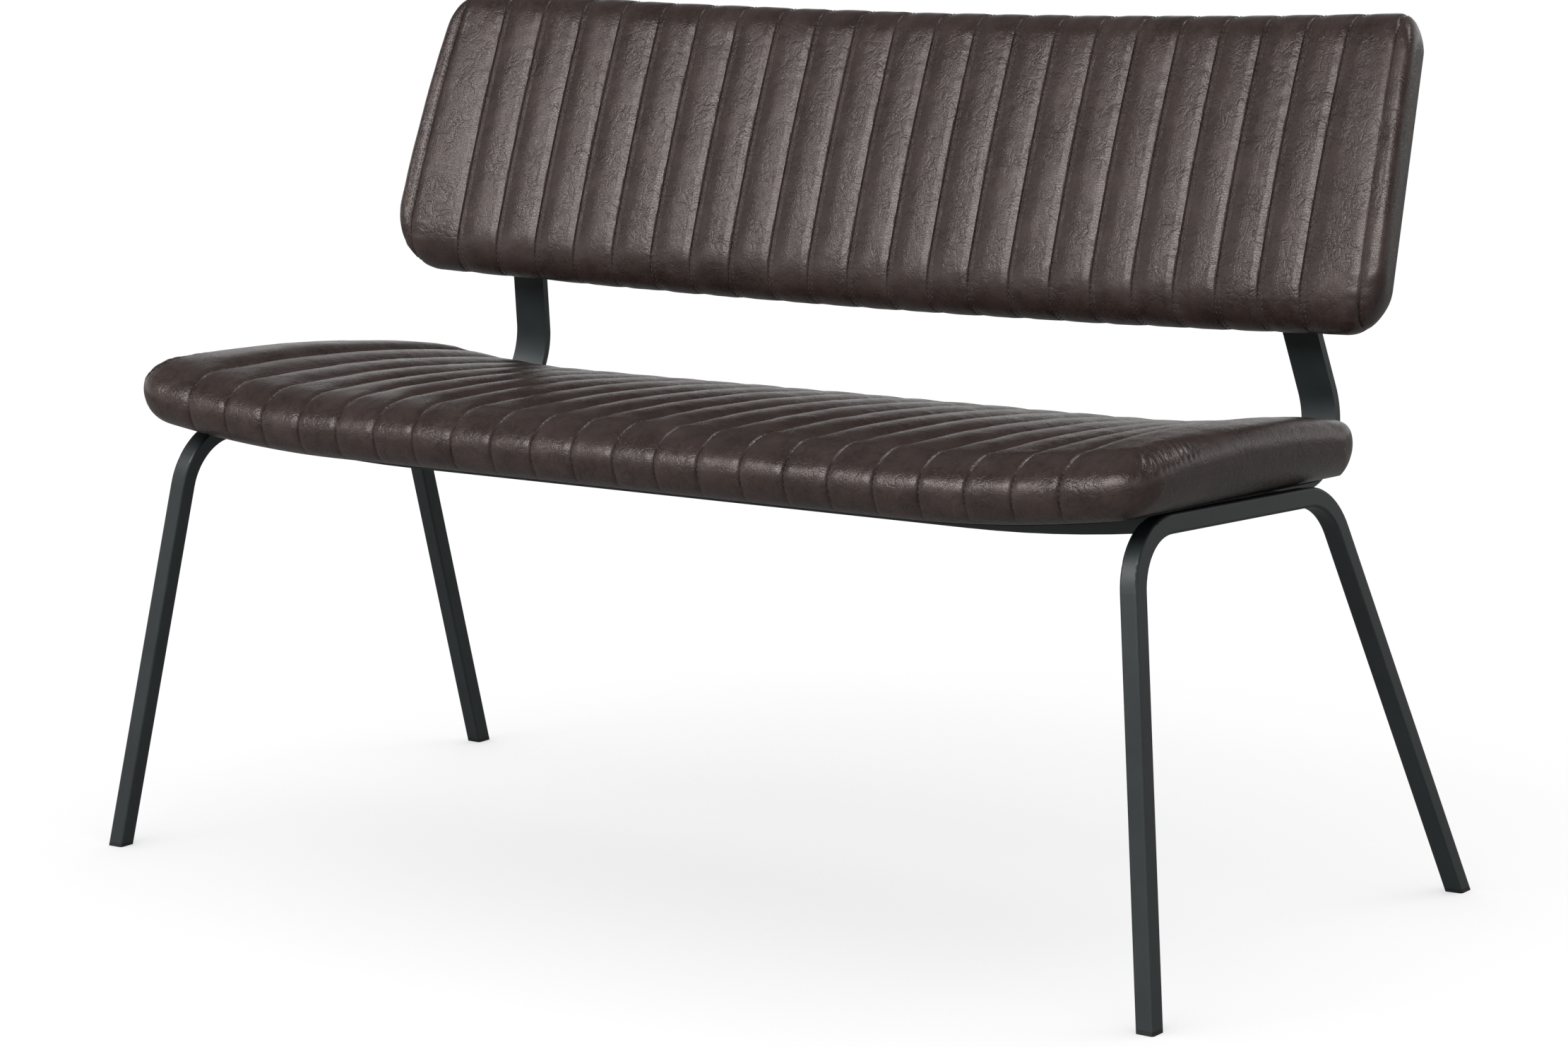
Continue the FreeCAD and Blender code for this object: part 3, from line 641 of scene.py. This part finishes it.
seat_seam = groove(seat_offset, floor=0.1, depth=(3.2, 3.2), wall=1.7,
                   edges=((1.0, 4.5, 1.1), (0.9, 4.5, 1.1)))[:, None]
seat_points = seat_points - seat_out * ((seat_seam + SEAT_SINK) * seat_fade)[..., None]
front_give = 0.25 + 0.75 * smoothstep(*SEAT_FRONT_ROLL, seat_run)
end_give = 1 - 0.85 * smoothstep(*SEAT_FIRM_END, np.abs(seat_stations))
seat_points = swollen(seat_points, seat_stations, seat_run, sewn=seat_away < 0.01,
                      pressure=45.0, cap=7.0,
                      give=front_give[None, :, None] * end_give[:, None, None])
seat_out = normals(seat_points)
seat_dents = dents(seat_points, (55, 3.1, 0.55), (17, 9.7, 0.22))
seat_pucker = puckers(seat_points, seat_away, (22.0, 7.5, 7.5), 5.3, height=0.4, peak=6)


def corner_pleats(points, stations, along):
    """Heights of the gathers where the seat's cover turns over the front corners.

    Around runs about a corner from the front edge to the end, inward runs in from the outline.
    """
    corner = SEAT_FRONT_CORNER_RADIUS
    pleat_radius, pleat_width, pleat_height = 36, 9.0, 1.4
    first, last = (-36, -16), (85, 15)
    outer_edge, inner_edge = (0, 4), (32, 17)
    side_run = np.abs(stations)[:, None] - (seat.half - corner)
    at_corner = (side_run > 0) & (along < corner)
    inward = np.where(at_corner, corner - np.hypot(side_run, along - corner), corner - side_run)
    around = np.where(at_corner, -pleat_radius * np.arctan2(corner - along, side_run),
                      along - corner)
    around = around + 2.0 * rough(points, 14, 4.4)
    gather = smoothstep(*first, around) * smoothstep(*last, around)
    gather = gather * smoothstep(*outer_edge, inward) * smoothstep(*inner_edge, inward)
    gather = gather * (0.75 + 0.5 * rough(points, 11, 6.6))
    return np.sin(2 * math.pi * (around - 0.5 * inward) / pleat_width) * gather * pleat_height


pleats = corner_pleats(seat_points, seat_stations, seat_along)
seat_points = seat_points + seat_out * (
    (seat_dents + seat_pucker + pleats) * seat_fade)[..., None]
seat_cushion = link_mesh("seat_cushion", *closed(seat_points), leather_material, PAD_SHARP)
declare(seat_cushion, "cover_leather", "seat_cover", "seat_foam")

# Backrest pad, with a gusset sewn over each end.
END_SEAM = back.half - BACK_END_PANEL_WIDTH
LEDGE = 2.4
BACK_SINK = 0.7
ROLLED_EDGE = (30, 80)
STRIP_START = 540
STRIP_MIDDLE = 9
STRIP_WIDTH = 7
LOW_END_START = (20, 45)
LOW_END_STOP = (150, 60)
back_offsets = [0, 1.3, LEDGE, 2.9, 3.5, 4.8, 6.2, 7.8, 9.5, 11.2, 13.0, 16, 20, 24]
inside_end_seam = [30, 25, 20, 15, 11, 7.5, 5, 3, 1.6, 0.7]
outside_end_seam = [0, 0.7, 1.6, 3, 5, 7, 9]
back_ends = ([END_SEAM - o for o in inside_end_seam] + [END_SEAM + o for o in outside_end_seam]
             + closing_marks(back.half, BACK_END_ROLL, 12))
back_stations = lay_stations(back_offsets, back_ends)
back_rows, back_run = back.lay_rows([2.4, 2.4, 2.4, 3.1, 2.4, 2.6])
back_points, back_along = back.lay(back_stations, back_rows, softening=9)
back_out = normals(back_points)
back_offset = from_seam(back_stations)
back_away = np.abs(back_offset)
end_away = np.abs(np.abs(back_stations) - END_SEAM)
back_fade = hem_fade(back_run, 20)
seam_fade = back_fade * (0.25 + 0.75 * smoothstep(*ROLLED_EDGE, back_run)) * (
    0.3 + 0.7 * smoothstep(*ROLLED_EDGE, back_run[-1] - back_run))
back_seam = groove(back_offset, floor=LEDGE, depth=(3.9, 3.3), wall=1.1,
                   edges=((1.7, 6.0, 1.0), (3.0, 14.5, 1.45)))[:, None]
end_seam = groove(end_away, floor=0.1, depth=(2.4, 2.4), wall=1.4,
                  edges=((0, 1, 1), (1.0, 4.5, 1.5)))[:, None]
back_points = back_points - back_out * (
    back_seam * seam_fade + (end_seam + BACK_SINK) * back_fade)[..., None]
sewn = (np.abs(back_away - LEDGE) < 0.01) | (end_away < 0.01)
back_points = swollen(back_points, back_stations, back_run, sewn, pressure=0.5, cap=5.0)
back_out = normals(back_points)
back_dents = dents(back_points, (48, 21.3, 0.5), (15, 2.9, 0.2))
back_pucker = puckers(back_points, back_away, (21.0, 7.0, 7.0), 15.3, height=0.32, peak=9)
# The strips beside the end seams are crumpled, and gathered towards the lower corners.
strip = np.exp(-((end_away - STRIP_MIDDLE) / STRIP_WIDTH) ** 2)[:, None]
strip = strip * (np.abs(back_stations) > STRIP_START)[:, None]
crumple = rough(np.stack([back_stations[:, None] / 5 + 0 * back_along,
                          back_run[None, :] / 40 + 0 * back_along, 0 * back_along], -1), 1, 8.2)
gather = rough(back_points / (30.0, 5.0, 5.0), 1, 31.7)
low_end = smoothstep(*LOW_END_START, back_run) * smoothstep(*LOW_END_STOP, back_run)
back_points = back_points + back_out * ((
    back_dents + back_pucker + strip * (0.45 * crumple + 1.1 * low_end * gather))
    * back_fade)[..., None]
cut = [int(np.argmin(np.abs(back_stations - mark))) for mark in (-END_SEAM, END_SEAM)]
back_cushion = link_mesh("back_cushion", *closed(back_points[cut[0]:cut[1] + 1]),
                         leather_material, PAD_SHARP)
declare(back_cushion, "cover_leather", "back_cover", "back_foam")
for side, piece in (("left", back_points[:cut[0] + 1]), ("right", back_points[cut[1]:])):
    gusset = link_mesh(side + "_back_gusset", *closed(piece), leather_material, PAD_SHARP)
    declare(gusset, "cover_leather", side + "_back_end_panel")

# Rear panel of the backrest and dust cover of the seat.


def thin_sheet(outer, inner):
    """Points and faces of a sheet between its outer and inner grids, closed round its edge."""
    count, rows = outer.shape[:2]
    size = count * rows
    over = np.arange(size).reshape(count, rows)
    rim = np.concatenate([over[:, 0], over[-1, 1:], over[-2::-1, -1], over[0, -2:0:-1]])
    sides = np.stack([rim, rim + size, np.roll(rim, -1) + size, np.roll(rim, -1)], -1)
    faces = grid_faces(count, rows)
    return (np.concatenate([outer.reshape(-1, 3), inner.reshape(-1, 3)]),
            faces[:, ::-1].tolist() + (faces + size).tolist() + sides.tolist())


def sheet_stations(half, radius):
    """Stations of a sheet, closer together where its corners are rounded."""
    flat_part = np.linspace(0, half - radius, 60)[1:-1].tolist()
    marks = sorted(flat_part + closing_marks(half, radius, 16))
    return np.array([-m for m in reversed(marks)] + [0.0] + marks)


# The rear panel is padded a little, and pressed flat under the plates of the supports.
PLATE_STATION = 463
PLATE_SIDE = (24, 50)
PLATE_TOP = (215, 245)
REAR_PANEL_ROWS = 44
stations = sheet_stations(back.half - REAR_PANEL_SETBACK, max(back.radii[:2]))
s, along, flat = back.slab(REAR_PANEL_SETBACK, -LAYER_GAP - REAR_PANEL_THICKNESS, stations,
                           REAR_PANEL_ROWS)
edge = back.from_edge(s, along, REAR_PANEL_SETBACK)
plates = smoothstep(*PLATE_SIDE, np.abs(np.abs(s) - PLATE_STATION)) + smoothstep(*PLATE_TOP, along)
puff = (1.6 + 0.8 * rough(flat, 60, 7.7)) * smoothstep(4, 34, edge) * np.minimum(1, plates)
puff = puff + 0.35 * rough(flat / (9.0, 30.0, 30.0), 1, 3.3) * np.exp(-((edge - 12) / 9) ** 2)
lean = normals(flat)
outer = flat - lean * puff[..., None]
inner = back.slab(REAR_PANEL_SETBACK, -LAYER_GAP, stations, REAR_PANEL_ROWS)[2]
rear_panel = link_mesh("back_rear_cover", *thin_sheet(outer, inner), leather_material, SHEET_SHARP)
declare(rear_panel, "cover_leather", "back_rear_panel")
rear_rim = [(outer[4:-4, row], -lean[4:-4, row]) for row in (2, -3)]

# The dust cover sags between the rails and the feet of the supports.
RAIL_ALONGS = (138, 309)
RAIL_SIDE = (14, 34)
SAG_END = (432, 400)
DUST_COVER_ROWS = 60
stations = sheet_stations(seat.half - DUST_COVER_SETBACK, max(seat.radii[:2]))
s, along, flat = seat.slab(DUST_COVER_SETBACK, -LAYER_GAP - DUST_COVER_THICKNESS, stations,
                           DUST_COVER_ROWS)
edge = seat.from_edge(s, along, DUST_COVER_SETBACK)
clear = smoothstep(*SAG_END, np.abs(s)) * smoothstep(6, 40, edge)
for rail in RAIL_ALONGS:
    clear = clear * smoothstep(*RAIL_SIDE, np.abs(along - rail))
lean = normals(flat)
sag = clear * (2.2 + 1.6 * rough(flat, 70, 12.9)) + 0.12 * rough(flat, 12, 2.2)
outer = flat - lean * np.maximum(sag, 0)[..., None]
inner = seat.slab(DUST_COVER_SETBACK, -LAYER_GAP, stations, DUST_COVER_ROWS)[2]
dust_cover = link_mesh("seat_dust_sheet", *thin_sheet(outer, inner), felt_material, SHEET_SHARP)
declare(dust_cover, "dust_cloth", "seat_dust_cover")
tack_lines = [(outer[10:-10, row], -lean[10:-10, row]) for row in (1, -2)]

# Stitching and staples: pitch, then length, width and height of each.
STITCH_PITCH = 5.4
SEAT_STITCH = (4.2, 1.1, 0.55)
BACK_STITCH = (4.2, 0.9, 0.5)
STAPLE_PITCH = 42.0
STAPLE = (11.0, 1.3, 0.5)
END_STITCH_OFFSET = 3


def seam_line(points, out, stations, mark, hem_rows=6, lift=0.1):
    """Points and normals of a pad's column at a mark, just above it and without the hems."""
    i = int(np.argmin(np.abs(stations - mark)))
    rows = slice(hem_rows, -hem_rows)
    return points[i, rows] + out[i, rows] * lift, out[i, rows]


back_marks = [m + o for m in SEAMS for o in (-LEDGE, LEDGE)]
back_marks += [-END_SEAM - END_STITCH_OFFSET, END_SEAM + END_STITCH_OFFSET]
seat_lines = [seam_line(seat_points, seat_out, seat_stations, mark) for mark in SEAMS]
back_lines = [seam_line(back_points, back_out, back_stations, mark) for mark in back_marks]
declare(stitches("seat_stitching", seat_lines, STITCH_PITCH, SEAT_STITCH, thread_material),
        "cover_leather")
declare(stitches("back_stitching", back_lines, STITCH_PITCH, BACK_STITCH, thread_material),
        "cover_leather")
declare(stitches("rear_panel_stitching", rear_rim, STITCH_PITCH, BACK_STITCH, thread_material),
        "cover_leather")
declare(stitches("dust_cover_staples", tack_lines, STAPLE_PITCH, STAPLE, nut_material),
        "nut_steel")

# Camera, fitted to the photograph. Places here and below are in metres.
PHOTO_WIDTH = 2220
FOCAL_LENGTH_PIXELS = 6185.04
EYE = (2.46770, -3.34763, 1.06790)
yaw, pitch, roll = 0.63281, 0.17382, -0.01632
ahead = Vector((-math.sin(yaw) * math.cos(pitch), math.cos(yaw) * math.cos(pitch),
                -math.sin(pitch)))
right = Vector((math.cos(yaw), math.sin(yaw), 0))
up = right.cross(ahead)
right, up = (right * math.cos(roll) + up * math.sin(roll),
             up * math.cos(roll) - right * math.sin(roll))
camera = bpy.data.objects.new("camera", bpy.data.cameras.new("camera"))
camera.data.sensor_width = 36
camera.data.sensor_fit = "HORIZONTAL"
camera.data.lens = camera.data.sensor_width * FOCAL_LENGTH_PIXELS / PHOTO_WIDTH
turn = Matrix((right, up, -ahead)).transposed().to_4x4()
camera.matrix_world = Matrix.Translation(EYE) @ turn
scene.collection.objects.link(camera)
scene.camera = camera

# Floor, world and lamps.
FLOOR_REACH = 40


def any_ray(nodes, links, path):
    """1 for a ray that shows the surface: seen, mirrored or through glass."""
    total = path.outputs["Is Camera Ray"]
    for kind in ("Is Glossy Ray", "Is Transmission Ray"):
        either = add(nodes, "ShaderNodeMath", operation="MAXIMUM")
        links.new(total, either.inputs[0])
        links.new(path.outputs[kind], either.inputs[1])
        total = either.outputs["Value"]
    return total


def mixed(nodes, links, share, first, second):
    """A mix of two shaders, where a share of 1 is the second alone."""
    mix = nodes.new("ShaderNodeMixShader")
    links.new(share, mix.inputs["Fac"])
    links.new(first, mix.inputs[1])
    links.new(second, mix.inputs[2])
    return mix.outputs["Shader"]


def pale_floor():
    """A pale floor that looks white, with a painted shadow that makes its glow darker under the bench,
    and can't be seen from below.
    """
    material = bpy.data.materials.new("floor_white")
    material.use_nodes = True
    nodes, links = material.node_tree.nodes, material.node_tree.links
    nodes.clear()
    path = nodes.new("ShaderNodeLightPath")
    plain = nodes.new("ShaderNodeBsdfDiffuse")
    plain.inputs["Color"].default_value = (0.45, 0.45, 0.45, 1)
    # Painted shadow: ambient occlusion dims the floor's glow where the bench stands over it.
    painted_shadow_occlusion = add(nodes, "ShaderNodeAmbientOcclusion", samples=16, distance=1.5)
    level = add(nodes, "ShaderNodeMath", operation="MULTIPLY")
    links.new(span(nodes, links, painted_shadow_occlusion.outputs["AO"], 0.53, 0.98), level.inputs[0])
    links.new(span(nodes, links, path.outputs["Is Camera Ray"], 0.2, 1.0), level.inputs[1])
    glow = nodes.new("ShaderNodeEmission")
    links.new(level.outputs["Value"], glow.inputs["Strength"])
    shade = nodes.new("ShaderNodeBsdfDiffuse")
    shade.inputs["Color"].default_value = (0.10, 0.10, 0.10, 1)
    seen = nodes.new("ShaderNodeAddShader")
    links.new(glow.outputs["Emission"], seen.inputs[0])
    links.new(shade.outputs["BSDF"], seen.inputs[1])
    above = mixed(nodes, links, any_ray(nodes, links, path), plain.outputs["BSDF"],
                  seen.outputs["Shader"])
    whole = mixed(nodes, links, nodes.new("ShaderNodeNewGeometry").outputs["Backfacing"], above,
                  nodes.new("ShaderNodeBsdfTransparent").outputs["BSDF"])
    links.new(whole, nodes.new("ShaderNodeOutputMaterial").inputs["Surface"])
    return material


def studio_world():
    """Soft light all round, in front of a background that looks white."""
    world = bpy.data.worlds.new("studio")
    world.use_nodes = True
    nodes, links = world.node_tree.nodes, world.node_tree.links
    nodes.clear()
    path = nodes.new("ShaderNodeLightPath")
    soft = nodes.new("ShaderNodeBackground")
    soft.inputs["Color"].default_value = (1, 1, 1, 1)
    soft.inputs["Strength"].default_value = 0.27
    white = nodes.new("ShaderNodeBackground")
    white.inputs["Color"].default_value = (1, 1, 1, 1)
    height = nodes.new("ShaderNodeSeparateXYZ")
    links.new(nodes.new("ShaderNodeTexCoord").outputs["Generated"], height.inputs["Vector"])
    level = add(nodes, "ShaderNodeMath", operation="MAXIMUM")
    links.new(span(nodes, links, height.outputs["Z"], 1.0, 0.16, 0.10, 0.42), level.inputs[0])
    links.new(path.outputs["Is Camera Ray"], level.inputs[1])
    links.new(level.outputs["Value"], white.inputs["Strength"])
    whole = mixed(nodes, links, any_ray(nodes, links, path), soft.outputs["Background"],
                  white.outputs["Background"])
    links.new(whole, nodes.new("ShaderNodeOutputWorld").inputs["Surface"])
    return world


def softbox(name, place, target, size, power):
    """A large rectangular lamp that faces a point and isn't seen itself."""
    lamp = bpy.data.lights.new(name, "AREA")
    lamp.shape = "RECTANGLE"
    lamp.size, lamp.size_y = size
    lamp.energy = power
    obj = bpy.data.objects.new(name, lamp)
    obj.location = place
    obj.rotation_euler = (Vector(target) - Vector(place)).to_track_quat("-Z", "Y").to_euler()
    obj.visible_camera = False
    scene.collection.objects.link(obj)


scene.view_settings.view_transform = "Standard"
floor_mesh = bpy.data.meshes.new("floor")
floor_corners = [(x * FLOOR_REACH, y * FLOOR_REACH, 0)
                 for x, y in ((-1, -1), (1, -1), (1, 1), (-1, 1))]
floor_mesh.from_pydata(floor_corners, [], [(0, 1, 2, 3)])
floor_mesh.materials.append(pale_floor())
floor = bpy.data.objects.new("floor", floor_mesh)
scene.collection.objects.link(floor)
scene.world = studio_world()
softbox("key", place=(-0.42, -3.5, 2.75), target=(0, 0.1, 0.55), size=(4.0, 1.45), power=165)
softbox("fill", place=(-3.05, -3.15, 2.75), target=(0, 0.1, 0.55), size=(1.2, 1.45), power=5)
softbox("side", place=(3.2, -2.8, 2.0), target=(0.3, 0, 0.6), size=(1.0, 1.4), power=8)
softbox("top", place=(1.5, 1.3, 3.1), target=(0.5, -0.1, 0.45), size=(1.2, 1.0), power=26)
